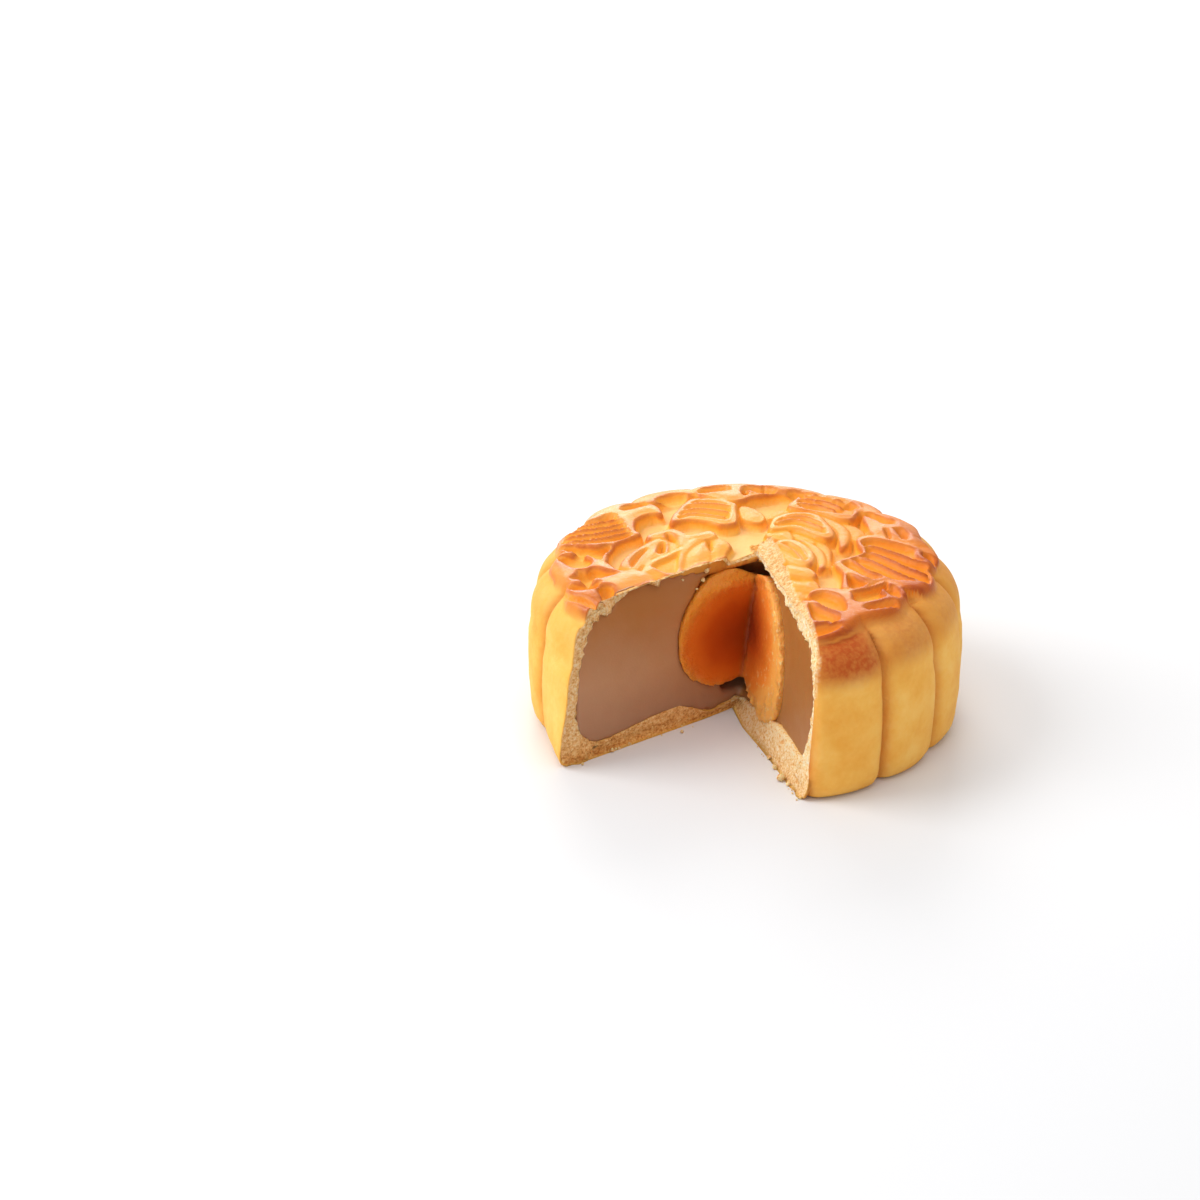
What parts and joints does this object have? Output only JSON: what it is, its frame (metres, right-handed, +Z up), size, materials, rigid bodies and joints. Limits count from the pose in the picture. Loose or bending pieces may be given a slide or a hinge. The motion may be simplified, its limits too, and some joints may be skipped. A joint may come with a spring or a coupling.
{
  "type": "mooncake",
  "caption": "Round fluted baked cake with a leaf-moulded top and one wedge cut out, showing its thin crust, smooth filling and salted yolk.",
  "frame": {"origin": "on the cake's axis, on its flat base", "axes": "+Z up through the moulded top; +X and +Y each pass through the crest of a lobe, and the missing wedge lies between -X and -Y"},
  "size_m": [0.076, 0.076, 0.03],
  "materials": {
    "baked_crust": "golden baked crust, browner and glossier on the moulded ridges, pale dry crumb where it is cut",
    "lotus_paste": "smooth dense paste, slightly translucent",
    "salted_yolk": "oily cured egg yolk, grainy where it is cut"
  },
  "bodies": {
    "root": {"crust": "baked_crust", "filling": "lotus_paste", "yolk": "salted_yolk"}
  },
  "joints": []
}
